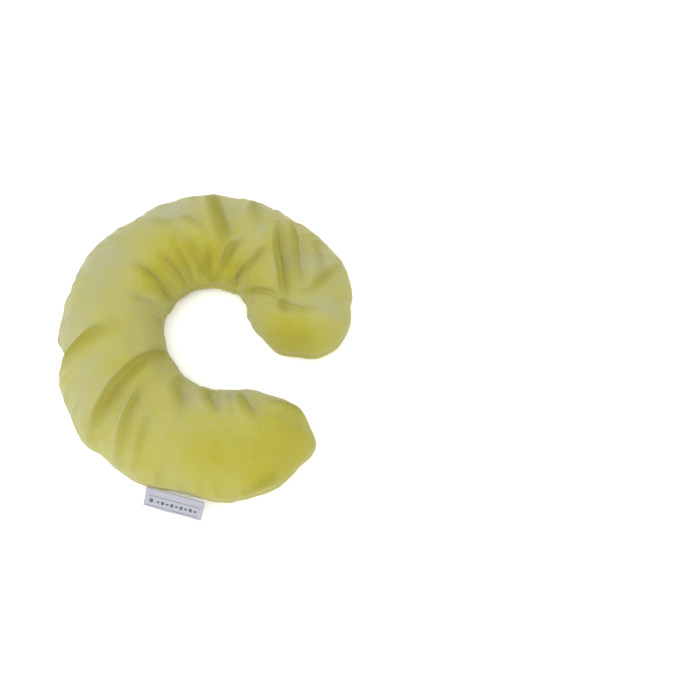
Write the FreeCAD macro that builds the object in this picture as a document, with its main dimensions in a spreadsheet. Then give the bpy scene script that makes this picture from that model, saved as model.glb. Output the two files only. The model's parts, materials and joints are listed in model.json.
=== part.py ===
"""Horseshoe neck compress: a plush cover with a zip, round a chambered cotton bag of dried herbs.

Lengths are in millimetres and angles in degrees.  The compress lies flat on z = 0, the neck
opening's centre is the origin, and the horseshoe opens towards -Y.  Left and right are the
wearer's, so the left arm is at +X.  The horseshoe is five chambers that flex at four seams:
the two back seams let the arms spread, and the two arm seams let the arm tips lift.
"""

import FreeCAD, Part

import math
import os

import Sketcher

V = FreeCAD.Vector

SIZES = {
    # plan of the horseshoe
    "ring_radius": 104.0,
    "back_seam": 35.0,
    "arm_seam": 90.0,
    "arm_end": 137.0,
    "back_curl_left": 3.0,
    "back_curl_right": -3.0,
    "arm_curl_left": 5.0,
    "arm_curl_right": -5.0,
    # cross-section of the cover
    "half_width": 53.0,
    "base_half_width": 33.0,
    "seam_height": 19.0,
    "crown_height": 54.0,
    "plush": 1.6,
    "rim": 1.9,
    # inner bag and its filling
    "bag_half_width": 44.5,
    "bag_base_half_width": 30.0,
    "bag_crown": 50.9,
    "bag_floor": 3.1,
    "cotton": 0.7,
    "fill_play": 0.3,
    # notches between the chambers
    "pivot_radius": 160.0,
    "pivot_depth": 2.0,
    "spread_notch": 6.0,
    "lift_notch": 23.5,
    "notch_reach": 130.0,
    "notch_top": 64.0,
    "cover_setback": 0.3,
    "bag_setback": 3.0,
    # zip under the outer edge of the back
    "zip_start": 61.0,
    "zip_end": 119.0,
    "zip_height": 10.0,
    "zip_window": 10.0,
    "zip_radius": 152.0,
    "zip_recess": 149.5,
    "zip_reach": 170.0,
    "coil_depth": 1.6,
    "coil_height": 1.5,
    "coil_gap": 0.9,
    "tape_depth": 0.6,
    "stop_span": 1.0,
    "slider_angle": 64.0,
    "slider_length": 9.0,
    "slider_height": 7.6,
    "slider_plate": 1.0,
    "slider_play": 0.4,
    "slider_web": 0.5,
    "bridge_width": 1.6,
    "bridge_length": 6.0,
    "bridge_hole": 4.0,
    "bridge_height": 4.2,
    "bridge_bar": 1.0,
    "pull_stand_off": 1.8,
    "pull_thickness": 1.0,
    "pull_length": 21.0,
    "pull_width": 5.6,
    "pull_eye": 4.6,
    "pull_leg": 1.0,
    # folded ribbon label in the side seam of the right arm
    "label_angle": 199.0,
    "label_width": 55.0,
    "label_drop": 13.0,
    "label_ply": 0.35,
    "label_gap": 0.3,
    "label_droop": 40.0,
    "label_stand_off": 1.6,
}

doc = FreeCAD.newDocument("neck_compress")
sheet = doc.addObject("Spreadsheet::Sheet", "Sizes")
for row, (alias, value) in enumerate(SIZES.items(), start=1):
    sheet.set(f"A{row}", alias)
    sheet.set(f"B{row}", str(value))
    sheet.setAlias(f"B{row}", alias)
doc.recompute()

nodes = []


def size(alias):
    """The number in the cell that has an alias."""
    return float(sheet.get(alias))


def bind(thing, prop, formula):
    """Ties a property to the sheet; a bare alias in the formula stands for its cell."""
    words = []
    for word in formula.split():
        words.append(f"Sizes.{word}" if word in SIZES else word)
    thing.setExpression(prop, " ".join(words))


def keep(thing, name):
    """Marks an object of the document as a sub-part with its own node name."""
    thing.Label = name
    nodes.append(thing)
    return thing


# --- sketches -------------------------------------------------------------------------------


def origin_plane(body, role):
    return next(f for f in body.Origin.OriginFeatures if f.Role == role)


def new_sketch(body, role, turn=0.0):
    """A sketch on an origin plane of its body, turned about the row's Z for the upright planes."""
    sketch = body.newObject("Sketcher::SketchObject", "Sketch")
    sketch.AttachmentSupport = [(origin_plane(body, role), "")]
    sketch.MapMode = "FlatFace"
    if turn:
        sketch.AttachmentOffset = FreeCAD.Placement(V(0, 0, 0), FreeCAD.Rotation(V(0, 1, 0), turn))
    return sketch


def pin_point(sketch, edge, end, at, x_formula, y_formula):
    """Fixes one end of an edge by its two distances from the sketch's origin."""
    for kind, value, formula in (("DistanceX", at[0], x_formula), ("DistanceY", at[1], y_formula)):
        if abs(value) < 1e-9 and formula == "0":
            axis = -2 if kind == "DistanceX" else -1
            sketch.addConstraint(Sketcher.Constraint("PointOnObject", edge, end, axis))
            continue
        index = sketch.addConstraint(Sketcher.Constraint(kind, -1, 1, edge, end, value))
        bind(sketch, f"Constraints[{index}]", formula)


def closed_outline(sketch, corners, arcs=None):
    """Draws a closed outline through corners of (x, y, x formula, y formula).

    arcs gives, for the edge that leaves a corner, (a point on the arc, radius formula)."""
    arcs = arcs or {}
    points = [V(c[0], c[1], 0) for c in corners]
    first = sketch.GeometryCount
    for i, start in enumerate(points):
        end = points[(i + 1) % len(points)]
        if i in arcs:
            via = V(arcs[i][0][0], arcs[i][0][1], 0)
            sketch.addGeometry(Part.Arc(start, via, end), False)
        else:
            sketch.addGeometry(Part.LineSegment(start, end), False)
    starts = []
    for i, start in enumerate(points):
        edge = first + i
        at_start = (sketch.getPoint(edge, 1) - start).Length < 1e-6
        starts.append((edge, 1 if at_start else 2, 2 if at_start else 1))
    for i, (edge, start_end, far_end) in enumerate(starts):
        following = starts[(i + 1) % len(starts)]
        sketch.addConstraint(Sketcher.Constraint("Coincident", edge, far_end, following[0], following[1]))
        pin_point(sketch, edge, start_end, corners[i][:2], corners[i][2], corners[i][3])
        if i in arcs:
            radius = sketch.Geometry[edge].Radius
            index = sketch.addConstraint(Sketcher.Constraint("Radius", edge, radius))
            bind(sketch, f"Constraints[{index}]", arcs[i][1])


def rectangle(sketch, low, high):
    """An upright rectangle between two corners, each (x, y, x formula, y formula)."""
    closed_outline(
        sketch,
        [
            low,
            (high[0], low[1], high[2], low[3]),
            high,
            (low[0], high[1], low[2], high[3]),
        ],
    )


# --- cross-sections of the chambers ---------------------------------------------------------


class Section:
    """A pillow-shaped cross-section: a crown arc over a flat base with rounded sides.

    Each of its four sizes is a (number, formula) pair."""

    def __init__(self, half_width, crown, base_half_width, floor):
        self.half_width = half_width
        self.crown = crown
        self.base = base_half_width
        self.floor = floor

    def side(self, sign):
        """The end of the section's widest line, on the inner (-1) or outer (+1) side."""
        word = "+" if sign > 0 else "-"
        return (
            size("ring_radius") + sign * self.half_width[0],
            size("seam_height"),
            f"ring_radius {word} ( {self.half_width[1]} )",
            "seam_height",
        )

    def foot(self, sign):
        word = "+" if sign > 0 else "-"
        return (
            size("ring_radius") + sign * self.base[0],
            self.floor[0],
            f"ring_radius {word} ( {self.base[1]} )",
            self.floor[1],
        )

    def middle(self, height):
        """A corner on the section's upright centre line."""
        return (size("ring_radius"), height[0], "ring_radius", height[1])

    def crown_arc(self, sign=0):
        """A point on the crown arc, its top by default, and the arc's radius."""
        rise = self.crown[0] - size("seam_height")
        radius = (self.half_width[0] ** 2 + rise**2) / (2 * rise)
        lean = math.asin(self.half_width[0] / radius) / 2 * sign
        centre = self.crown[0] - radius
        point = (
            size("ring_radius") + radius * math.sin(lean),
            centre + radius * math.cos(lean),
        )
        rise_words = f"( {self.crown[1]} - seam_height )"
        return point, f"( ( {self.half_width[1]} ) ^ 2 + {rise_words} ^ 2 ) / ( 2 * {rise_words} )"

    def side_arc(self, sign):
        """A point on the rounded side below the seam, which meets the base in a tangent."""
        out = self.half_width[0] - self.base[0]
        rise = size("seam_height") - self.floor[0]
        radius = (out**2 + rise**2) / (2 * rise)
        lean = math.atan2(out, radius - rise) / 2
        point = (
            size("ring_radius") + sign * (self.base[0] + radius * math.sin(lean)),
            self.floor[0] + radius * (1 - math.cos(lean)),
        )
        out_words = f"( {self.half_width[1]} - ( {self.base[1]} ) )"
        rise_words = f"( seam_height - ( {self.floor[1]} ) )"
        return point, f"( {out_words} ^ 2 + {rise_words} ^ 2 ) / ( 2 * {rise_words} )"


COVER_OUT = Section(
    (size("half_width"), "half_width"),
    (size("crown_height"), "crown_height"),
    (size("base_half_width"), "base_half_width"),
    (0.0, "0"),
)
COVER_IN = Section(
    (size("half_width") - size("rim"), "half_width - rim"),
    (size("crown_height") - size("plush"), "crown_height - plush"),
    (size("base_half_width"), "base_half_width"),
    (size("plush"), "plush"),
)


def bag_section(inset, inset_words):
    """The bag's cross-section, shrunk all round by an inset."""
    return Section(
        (size("bag_half_width") - inset, f"bag_half_width - {inset_words}"),
        (size("bag_crown") - inset, f"bag_crown - {inset_words}"),
        (size("bag_base_half_width"), "bag_base_half_width"),
        (size("bag_floor") + inset, f"bag_floor + {inset_words}"),
    )


BAG_OUT = bag_section(0.0, "0")
BAG_IN = bag_section(size("cotton"), "cotton")
FILL = bag_section(size("cotton") + size("fill_play"), "( cotton + fill_play )")


def draw_top_band(sketch):
    """The upper cover panel: the band between the outer and the inner crown."""
    corners = [COVER_OUT.side(1), COVER_OUT.side(-1), COVER_IN.side(-1), COVER_IN.side(1)]
    closed_outline(sketch, corners, {0: COVER_OUT.crown_arc(), 2: COVER_IN.crown_arc()})


def draw_bottom_band(sketch):
    """The lower cover panel: the band under the seam, flat where it rests."""
    corners = [
        COVER_OUT.side(-1),
        COVER_OUT.foot(-1),
        COVER_OUT.foot(1),
        COVER_OUT.side(1),
        COVER_IN.side(1),
        COVER_IN.foot(1),
        COVER_IN.foot(-1),
        COVER_IN.side(-1),
    ]
    arcs = {
        0: COVER_OUT.side_arc(-1),
        2: COVER_OUT.side_arc(1),
        4: COVER_IN.side_arc(1),
        6: COVER_IN.side_arc(-1),
    }
    closed_outline(sketch, corners, arcs)


def draw_whole(section):
    def draw(sketch):
        corners = [section.side(1), section.side(-1), section.foot(-1), section.foot(1)]
        arcs = {0: section.crown_arc(), 1: section.side_arc(-1), 3: section.side_arc(1)}
        closed_outline(sketch, corners, arcs)

    return draw


def draw_half_top_band(sketch):
    corners = [
        COVER_OUT.side(1),
        COVER_OUT.middle(COVER_OUT.crown),
        COVER_IN.middle(COVER_IN.crown),
        COVER_IN.side(1),
    ]
    closed_outline(sketch, corners, {0: COVER_OUT.crown_arc(1), 2: COVER_IN.crown_arc(1)})


def draw_half_bottom_band(sketch):
    corners = [
        COVER_OUT.middle(COVER_OUT.floor),
        COVER_OUT.foot(1),
        COVER_OUT.side(1),
        COVER_IN.side(1),
        COVER_IN.foot(1),
        COVER_IN.middle(COVER_IN.floor),
    ]
    closed_outline(sketch, corners, {1: COVER_OUT.side_arc(1), 3: COVER_IN.side_arc(1)})


def draw_half_whole(section):
    def draw(sketch):
        corners = [
            section.middle(section.floor),
            section.foot(1),
            section.side(1),
            section.middle(section.crown),
        ]
        closed_outline(sketch, corners, {1: section.side_arc(1), 2: section.crown_arc(1)})

    return draw


# --- chambers -------------------------------------------------------------------------------

# name: (first angle, last angle, seam at the first angle, seam at the last angle)
RIGHT = 90.0
CHAMBERS = {
    "back": (RIGHT - size("back_seam"), RIGHT + size("back_seam"), "spread", "spread"),
    "left_shoulder": (RIGHT - size("arm_seam"), RIGHT - size("back_seam"), "lift", "spread"),
    "left_tip": (RIGHT - size("arm_end"), RIGHT - size("arm_seam"), "tip", "lift"),
    "right_shoulder": (RIGHT + size("back_seam"), RIGHT + size("arm_seam"), "spread", "lift"),
    "right_tip": (RIGHT + size("arm_seam"), RIGHT + size("arm_end"), "lift", "tip"),
}
SPAN_WORDS = {
    "back": "2 * back_seam",
    "left_shoulder": "arm_seam - back_seam",
    "right_shoulder": "arm_seam - back_seam",
    "left_tip": "arm_end - arm_seam",
    "right_tip": "arm_end - arm_seam",
}


def about(x, y, angle):
    """A placement that turns by an angle about the upright line through (x, y)."""
    return FreeCAD.Placement(V(0, 0, 0), FreeCAD.Rotation(V(0, 0, 1), angle), V(x, y, 0))


def seam_pivot(side, seam):
    """The upright line on the outer edge that the arm turns about at a seam."""
    angle = math.radians(90.0 + side * size(seam))
    return (size("pivot_radius") * math.cos(angle), size("pivot_radius") * math.sin(angle))


def lie(chamber):
    """How a chamber lies at rest: each arm is a little curled at its two seams."""
    placed = FreeCAD.Placement()
    if chamber == "back":
        return placed
    name, side = ("left", -1) if chamber.startswith("left") else ("right", 1)
    placed = about(*seam_pivot(side, "back_seam"), side * size(f"back_curl_{name}"))
    if chamber.endswith("tip"):
        placed = placed * about(*seam_pivot(side, "arm_seam"), side * size(f"arm_curl_{name}"))
    return placed


def notch(body, turn, kind, setback_words):
    """Cuts the V between two chambers at an angle about the ring's axis.

    A spread notch has its upright apex on the outer edge and opens inwards.  A lift notch has
    a level apex under the base and opens upwards."""
    radial = V(math.cos(math.radians(turn)), math.sin(math.radians(turn)), 0)
    tangent = V(-radial.y, radial.x, 0)
    wedge = body.newObject("PartDesign::SubtractiveWedge", "Notch")
    if kind == "spread":
        reach, angle, low, high = "notch_reach", "spread_notch", "- pivot_depth", "notch_top"
        apex, facing = radial * size("pivot_radius"), FreeCAD.Rotation(V(0, 0, 1), turn + 90.0)
    else:
        reach, angle, low, high = "notch_top", "lift_notch", "0", "pivot_radius"
        apex = V(0, 0, -size("pivot_depth"))
        facing = FreeCAD.Rotation(tangent, V(0, 0, 1), radial, "XYZ")
    wedge.Placement = FreeCAD.Placement(apex, facing)
    half = f"{setback_words} + {reach} * tan( {angle} * 1 deg )"
    bind(wedge, "Ymin", "0 mm")
    bind(wedge, "Ymax", f"{reach} * 1 mm")
    bind(wedge, "Xmin", f"- 1 mm * ( {setback_words} )")
    bind(wedge, "Xmax", f"1 mm * ( {setback_words} )")
    bind(wedge, "X2min", f"- 1 mm * ( {half} )")
    bind(wedge, "X2max", f"1 mm * ( {half} )")
    for prop, words in (("Zmin", low), ("Z2min", low), ("Zmax", high), ("Z2max", high)):
        bind(wedge, prop, f"1 mm * ( {words} )")
    doc.recompute()


def chamber_body(name, chamber, draw, draw_half, setback_words):
    """One piece of a chamber: a cross-section swept round the ring, rounded off at a tip."""
    first, last, first_seam, last_seam = CHAMBERS[chamber]
    span = last - first
    body = doc.addObject("PartDesign::Body", name)
    sketch = new_sketch(body, "XZ_Plane")
    draw(sketch)
    sweep = body.newObject("PartDesign::Revolution", "Sweep")
    sweep.Profile = sketch
    sweep.ReferenceAxis = (sketch, ["V_Axis"])
    bind(sweep, "Angle", SPAN_WORDS[chamber])
    doc.recompute()
    if "tip" in (first_seam, last_seam):
        at_last = last_seam == "tip"
        sketch = new_sketch(body, "XZ_Plane", span if at_last else 0.0)
        draw_half(sketch)
        axis = sketch.addGeometry(
            Part.LineSegment(V(size("ring_radius"), 0, 0), V(size("ring_radius"), 10, 0)), True
        )
        sketch.addConstraint(Sketcher.Constraint("Vertical", axis))
        pin_point(sketch, axis, 1, (size("ring_radius"), 0.0), "ring_radius", "0")
        cap = body.newObject("PartDesign::Revolution", "Tip")
        cap.Profile = sketch
        cap.ReferenceAxis = (sketch, ["Axis0"])
        cap.Angle = 180
        cap.Reversed = not at_last
        doc.recompute()
    for turn, seam in ((0.0, first_seam), (span, last_seam)):
        if seam != "tip":
            notch(body, turn, "spread", setback_words)
        if seam == "lift":
            notch(body, turn, "lift", setback_words)
    return body


def place_ring(thing, chamber, start):
    """Puts a piece drawn from the X axis at its angle, and lays it as its chamber lies."""
    thing.Placement = lie(chamber) * about(0, 0, start)


def make_chambers():
    """The cover's two panels, the bag and its filling, chamber by chamber."""
    for chamber, (first, _, _, _) in CHAMBERS.items():

        def shell(name, draw, draw_half, setback_words):
            return chamber_body(name, chamber, draw, draw_half, setback_words)

        top = shell("cover_top", draw_top_band, draw_half_top_band, "cover_setback")
        bottom = shell("cover_bottom", draw_bottom_band, draw_half_bottom_band, "cover_setback")
        bag = doc.addObject("Part::Cut", "inner_bag")
        bag.Base = shell("bag_outside", draw_whole(BAG_OUT), draw_half_whole(BAG_OUT), "bag_setback")
        bag.Tool = shell(
            "bag_hollow", draw_whole(BAG_IN), draw_half_whole(BAG_IN), "( bag_setback + cotton )"
        )
        filling = shell(
            "filling",
            draw_whole(FILL),
            draw_half_whole(FILL),
            "( bag_setback + cotton + fill_play )",
        )
        pieces = {"cover_top": top, "cover_bottom": bottom, "inner_bag": bag, "herb_filling": filling}
        for name, thing in pieces.items():
            keep(thing, f"{name}_{chamber}")
            place_ring(thing, chamber, first)


# --- zip ------------------------------------------------------------------------------------


def zip_sweep(name, low, high, span_words, start):
    """A strip of the zip: a rectangle in (radius, height) swept along the outer edge."""
    body = doc.addObject("PartDesign::Body", name)
    sketch = new_sketch(body, "XZ_Plane")
    rectangle(sketch, low, high)
    sweep = body.newObject("PartDesign::Revolution", "Sweep")
    sweep.Profile = sketch
    sweep.ReferenceAxis = (sketch, ["V_Axis"])
    bind(sweep, "Angle", span_words)
    keep(body, name)
    place_ring(body, "back", start)
    return body


def cut_zip_window(name):
    """Opens the panel of that name along the zip."""
    body = next(thing for thing in nodes if thing.Label == name)
    sketch = new_sketch(body, "XZ_Plane", size("zip_start") - CHAMBERS["back"][0])
    height, half = size("zip_height"), size("zip_window") / 2
    rectangle(
        sketch,
        (size("zip_recess"), height - half, "zip_recess", "zip_height - zip_window / 2"),
        (size("zip_reach"), height + half, "zip_reach", "zip_height + zip_window / 2"),
    )
    groove = body.newObject("PartDesign::Groove", "ZipWindow")
    groove.Profile = sketch
    groove.ReferenceAxis = (sketch, ["V_Axis"])
    before = body.Shape.Volume
    bind(groove, "Angle", "zip_end - zip_start")
    doc.recompute()
    if body.Shape.Volume >= before:
        raise RuntimeError(f"the zip window cut nothing from {body.Name}")


def make_zip():
    """Two coils side by side, each on a tape that meets the cover's turned edge, and two stops."""
    height = size("zip_height")
    middle = size("zip_radius")
    half_gap = size("coil_gap") / 2
    for name, side, word in (("upper", 1, "+"), ("lower", -1, "-")):
        near = height + side * half_gap
        far = near + side * size("coil_height")
        edge = height + side * size("zip_window") / 2
        near_words = f"zip_height {word} coil_gap / 2"
        far_words = f"{near_words} {word} coil_height"
        edge_words = f"zip_height {word} zip_window / 2"
        low, high = sorted([(near, near_words), (far, far_words)])
        coil_in, coil_out = middle - size("coil_depth") / 2, middle + size("coil_depth") / 2
        zip_sweep(
            f"zip_coil_{name}",
            (coil_in, low[0], "zip_radius - coil_depth / 2", low[1]),
            (coil_out, high[0], "zip_radius + coil_depth / 2", high[1]),
            "zip_end - zip_start - 2 * stop_span",
            size("zip_start") + size("stop_span"),
        )
        low, high = sorted([(far, far_words), (edge, edge_words)])
        tape_in, tape_out = middle - size("tape_depth") / 2, middle + size("tape_depth") / 2
        zip_sweep(
            f"zip_tape_{name}",
            (tape_in, low[0], "zip_radius - tape_depth / 2", low[1]),
            (tape_out, high[0], "zip_radius + tape_depth / 2", high[1]),
            "zip_end - zip_start",
            size("zip_start"),
        )
    reach = half_gap + size("coil_height")
    low = (
        middle - size("coil_depth") / 2,
        height - reach,
        "zip_radius - coil_depth / 2",
        "zip_height - coil_gap / 2 - coil_height",
    )
    high = (
        middle + size("coil_depth") / 2,
        height + reach,
        "zip_radius + coil_depth / 2",
        "zip_height + coil_gap / 2 + coil_height",
    )
    ends = (("zip_bottom_stop", size("zip_start")), ("zip_top_stop", size("zip_end") - size("stop_span")))
    for name, start in ends:
        zip_sweep(name, low, high, "stop_span", start)


def pad_both_ways(body, sketch, length_words):
    pad = body.newObject("PartDesign::Pad", "Pad")
    pad.Profile = sketch
    bind(pad, "Length", f"1 mm * ( {length_words} )")
    pad.Midplane = True
    doc.recompute()
    return pad


def make_slider():
    """An I-shaped slider round the two coils, with a bridge for the pull.

    Returns the radius of its outer face, as a number and a formula."""
    height, middle = size("zip_height"), size("zip_radius")
    gap = size("coil_depth") / 2 + size("slider_play")
    wing = size("slider_height") / 2
    web = size("slider_web") / 2
    plate = size("slider_plate")
    out_words = "zip_radius + coil_depth / 2 + slider_play"
    in_words = "zip_radius - coil_depth / 2 - slider_play"
    radii = [
        (middle - gap - plate, f"{in_words} - slider_plate"),
        (middle - gap, in_words),
        (middle + gap, out_words),
        (middle + gap + plate, f"{out_words} + slider_plate"),
    ]
    heights = [
        (height - wing, "zip_height - slider_height / 2"),
        (height - web, "zip_height - slider_web / 2"),
        (height + web, "zip_height + slider_web / 2"),
        (height + wing, "zip_height + slider_height / 2"),
    ]
    steps = [(0, 0), (1, 0), (1, 1), (2, 1), (2, 0), (3, 0), (3, 3), (2, 3), (2, 2), (1, 2), (1, 3), (0, 3)]
    body = doc.addObject("PartDesign::Body", "zip_slider")
    sketch = new_sketch(body, "XZ_Plane")
    closed_outline(
        sketch,
        [(radii[i][0], heights[j][0], radii[i][1], heights[j][1]) for i, j in steps],
    )
    pad_both_ways(body, sketch, "slider_length")
    make_bridge(body, radii[3])
    keep(body, "zip_slider")
    place_ring(body, "back", size("slider_angle"))
    return radii[3]


def make_bridge(body, face):
    """A low arch on the slider's face: feet, then a bar over the pull's crossbar."""
    half, hole = size("bridge_length") / 2, size("bridge_hole") / 2
    top = face[0] + size("bridge_height")
    under = top - size("bridge_bar")
    foot = face[0] - size("slider_plate") / 2
    foot_words = f"{face[1]} - slider_plate / 2"
    top_words = f"{face[1]} + bridge_height"
    under_words = f"{top_words} - bridge_bar"
    corners = [
        (foot, -half, foot_words, "- bridge_length / 2"),
        (top, -half, top_words, "- bridge_length / 2"),
        (top, half, top_words, "bridge_length / 2"),
        (foot, half, foot_words, "bridge_length / 2"),
        (foot, hole, foot_words, "bridge_hole / 2"),
        (under, hole, under_words, "bridge_hole / 2"),
        (under, -hole, under_words, "- bridge_hole / 2"),
        (foot, -hole, foot_words, "- bridge_hole / 2"),
    ]
    sketch = new_sketch(body, "XY_Plane")
    sketch.AttachmentOffset = FreeCAD.Placement(V(0, 0, size("zip_height")), FreeCAD.Rotation())
    closed_outline(sketch, corners)
    pad_both_ways(body, sketch, "bridge_width")


def make_pull(face):
    """A flat tab with an eye, whose crossbar turns under the slider's bridge."""
    thick = size("pull_thickness")
    middle = face[0] + size("pull_stand_off") + thick / 2
    half = size("pull_width") / 2
    eye = half - size("pull_leg")
    bar = thick / 2
    body = doc.addObject("PartDesign::Body", "zip_pull")
    sketch = new_sketch(body, "YZ_Plane")
    sketch.AttachmentOffset = FreeCAD.Placement(V(0, 0, middle), FreeCAD.Rotation())
    height = size("zip_height")
    far = size("pull_length") - bar
    rectangle(
        sketch,
        (-bar, height - half, "- pull_thickness / 2", "zip_height - pull_width / 2"),
        (far, height + half, "pull_length - pull_thickness / 2", "zip_height + pull_width / 2"),
    )
    rectangle(
        sketch,
        (bar, height - eye, "pull_thickness / 2", "zip_height - pull_width / 2 + pull_leg"),
        (size("pull_eye"), height + eye, "pull_eye", "zip_height + pull_width / 2 - pull_leg"),
    )
    pad_both_ways(body, sketch, "pull_thickness")
    keep(body, "zip_pull")
    place_ring(body, "back", size("slider_angle"))


# --- label ----------------------------------------------------------------------------------


def make_label():
    """A ribbon folded in two: its cut ends meet the side seam, its fold hangs outwards."""
    ply, gap, drop = size("label_ply"), size("label_gap"), size("label_drop")
    body = doc.addObject("PartDesign::Body", "side_label")
    sketch = new_sketch(body, "XZ_Plane")
    outer = ply + gap / 2
    corners = [
        (0.0, -outer, "0", "- label_ply - label_gap / 2"),
        (drop, -outer, "label_drop", "- label_ply - label_gap / 2"),
        (drop, outer, "label_drop", "label_ply + label_gap / 2"),
        (0.0, outer, "0", "label_ply + label_gap / 2"),
        (0.0, gap / 2, "0", "label_gap / 2"),
        (drop - ply, gap / 2, "label_drop - label_ply", "label_gap / 2"),
        (drop - ply, -gap / 2, "label_drop - label_ply", "- label_gap / 2"),
        (0.0, -gap / 2, "0", "- label_gap / 2"),
    ]
    closed_outline(sketch, corners)
    pad_both_ways(body, sketch, "label_width")
    keep(body, "side_label")
    hang = FreeCAD.Placement(
        V(size("ring_radius") + size("half_width") + size("label_stand_off"), 0, size("seam_height")),
        FreeCAD.Rotation(V(0, 1, 0), size("label_droop")),
    )
    body.Placement = lie("right_tip") * about(0, 0, size("label_angle")) * hang


# --- build, test and write ------------------------------------------------------------------


def write_parts():
    doc.recompute()
    for thing in doc.Objects:
        bad = [word for word in thing.State if word in ("Invalid", "Error")]
        if bad:
            raise RuntimeError(f"{thing.Label} is {bad}")
    os.makedirs("parts", exist_ok=True)
    for thing in nodes:
        shape = thing.Shape
        if shape.isNull() or not shape.isValid() or not shape.Solids:
            raise RuntimeError(f"{thing.Label} has no valid solid")
        shape.exportStep(f"parts/{thing.Label}.step")
        print(f"{thing.Label}: {len(shape.Solids)} solid, {shape.Volume:.0f} mm3")


make_chambers()
cut_zip_window("cover_bottom_back")
make_zip()
make_pull(make_slider())
make_label()
write_parts()
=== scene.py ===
"""Horseshoe herbal neck compress in lemon plush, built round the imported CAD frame.

Script units are millimetres and degrees in the ring's own flat layout: theta is measured from
the middle of the back, positive towards the wearer's right arm, and r from the ring's axis.
The layout is curled to the resting shape last, and then goes to metres.
"""
import json
import math
import random

import bpy
import numpy as np
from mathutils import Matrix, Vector, noise


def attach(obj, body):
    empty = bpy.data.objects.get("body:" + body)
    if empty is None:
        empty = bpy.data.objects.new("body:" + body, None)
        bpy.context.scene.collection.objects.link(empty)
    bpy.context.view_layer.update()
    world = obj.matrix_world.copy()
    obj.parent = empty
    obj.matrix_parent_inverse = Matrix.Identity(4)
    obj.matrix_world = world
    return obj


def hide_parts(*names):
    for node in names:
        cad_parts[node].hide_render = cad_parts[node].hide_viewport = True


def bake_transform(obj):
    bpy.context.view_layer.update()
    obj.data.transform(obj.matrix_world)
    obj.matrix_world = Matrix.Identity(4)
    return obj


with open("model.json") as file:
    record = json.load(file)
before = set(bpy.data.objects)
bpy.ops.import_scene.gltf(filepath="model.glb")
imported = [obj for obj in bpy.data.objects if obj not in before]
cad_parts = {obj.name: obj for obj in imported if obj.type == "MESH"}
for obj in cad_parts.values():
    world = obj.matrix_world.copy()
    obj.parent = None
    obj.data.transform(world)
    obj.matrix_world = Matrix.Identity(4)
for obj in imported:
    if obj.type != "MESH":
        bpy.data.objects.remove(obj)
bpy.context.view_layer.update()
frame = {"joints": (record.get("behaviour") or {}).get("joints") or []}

MM = 0.001
JOINTS = {joint["name"]: joint for joint in frame["joints"]}

# the horseshoe, as the CAD has it
RING = 104.0
HALF = 53.0
SEAM_Z = 19.0
CROWN_Z = 54.0
BASE_HALF = 33.0
BACK_SEAM = 35.0
ARM_SEAM = 90.0
ARM_END = 137.0
PIVOT = 160.0
CURLS = {-1: (3.0, 5.0), 1: (-3.0, -5.0)}
CURL_EASE = 9.0

# the mesh of a panel: steps along its arcs and round each tip, and rows in from the seam
ARC_STEPS = 560
CAP_STEPS = 110
TOP_ROWS = 46
BOTTOM_ROWS = 44

# how far the sewn edge is drawn in and over what width, and about how deep a panel is
SEAM_TUCK = 1.2
SEAM_TUCK_WIDTH = 2.4
PANEL_DEPTH = 70.0

# folds come on within this part (one over it) of the way in from the seam, and on the
# underside over this height and to this share
SEAM_STIFFNESS = 9.0
UNDERSIDE_FADE = 6.0
UNDERSIDE_SHARE = 0.9

# the zip in the lower outer side of the back: half its arc in degrees, then its place
ZIP_HALF_ARC = 29.0
ZIP_R = 152.0
ZIP_Z = 10.0
ZIP_HALF_HEIGHT = 5.0
COIL_FROM_MIDDLE = 1.05
COIL_WIND = 0.55
SLIDER_THETA = -26.0

# the lower panel at the zip: the radius behind it, how far the lip under it and the cloth
# round it stand out, how many degrees past its ends the opening and that cloth reach, and
# over how many degrees, and millimetres under the seam, that cloth fades
ZIP_RECESS = 149.0
ZIP_LIP = 2.6
ZIP_SURROUND = 0.5
OPENING_REACH = 2.0
SURROUND_REACH = 4.5
SURROUND_FADE = 4.0
SURROUND_SEAM_FADE = 3.0

# the crown's shape: evenness of the rows, flatness of the middle, roundness of the shoulders
TOP_LEAN = 76.0
TOP_FLATNESS = 2.4
TOP_ROUNDNESS = 0.66


# --- camera ---------------------------------------------------------------------------------


def make_camera():
    """The photograph's view: from the wearer's front right, 64 degrees up."""
    data = bpy.data.cameras.new("camera")
    data.sensor_width = 36.0
    data.lens = 44.87
    camera = bpy.data.objects.new("camera", data)
    bpy.context.scene.collection.objects.link(camera)
    place = Vector((-283.8, -277.5, 776.2)) * MM
    aim = Vector((49.0, -115.2, 0.0)) * MM
    camera.location = place
    camera.rotation_euler = (aim - place).to_track_quat("-Z", "Y").to_euler()
    bpy.context.scene.camera = camera


make_camera()


# --- small numeric helpers ------------------------------------------------------------------


def ease(x):
    """Goes smoothly from 0 at x = 0 to 1 at x = 1."""
    x = np.clip(x, 0.0, 1.0)
    return x * x * (3.0 - 2.0 * x)


def polar(theta, r):
    """The layout's x and y for an angle from the back and a radius."""
    angle = np.radians(90.0 + np.asarray(theta, float))
    return np.stack([r * np.cos(angle), r * np.sin(angle)], -1)


def turned(points, centre, degrees):
    """Flat points, each turned about a centre by its own angle."""
    angle = np.radians(degrees)
    x, y = points[..., 0] - centre[0], points[..., 1] - centre[1]
    cos, sin = np.cos(angle), np.sin(angle)
    return np.stack([centre[0] + x * cos - y * sin, centre[1] + x * sin + y * cos], -1)


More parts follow.
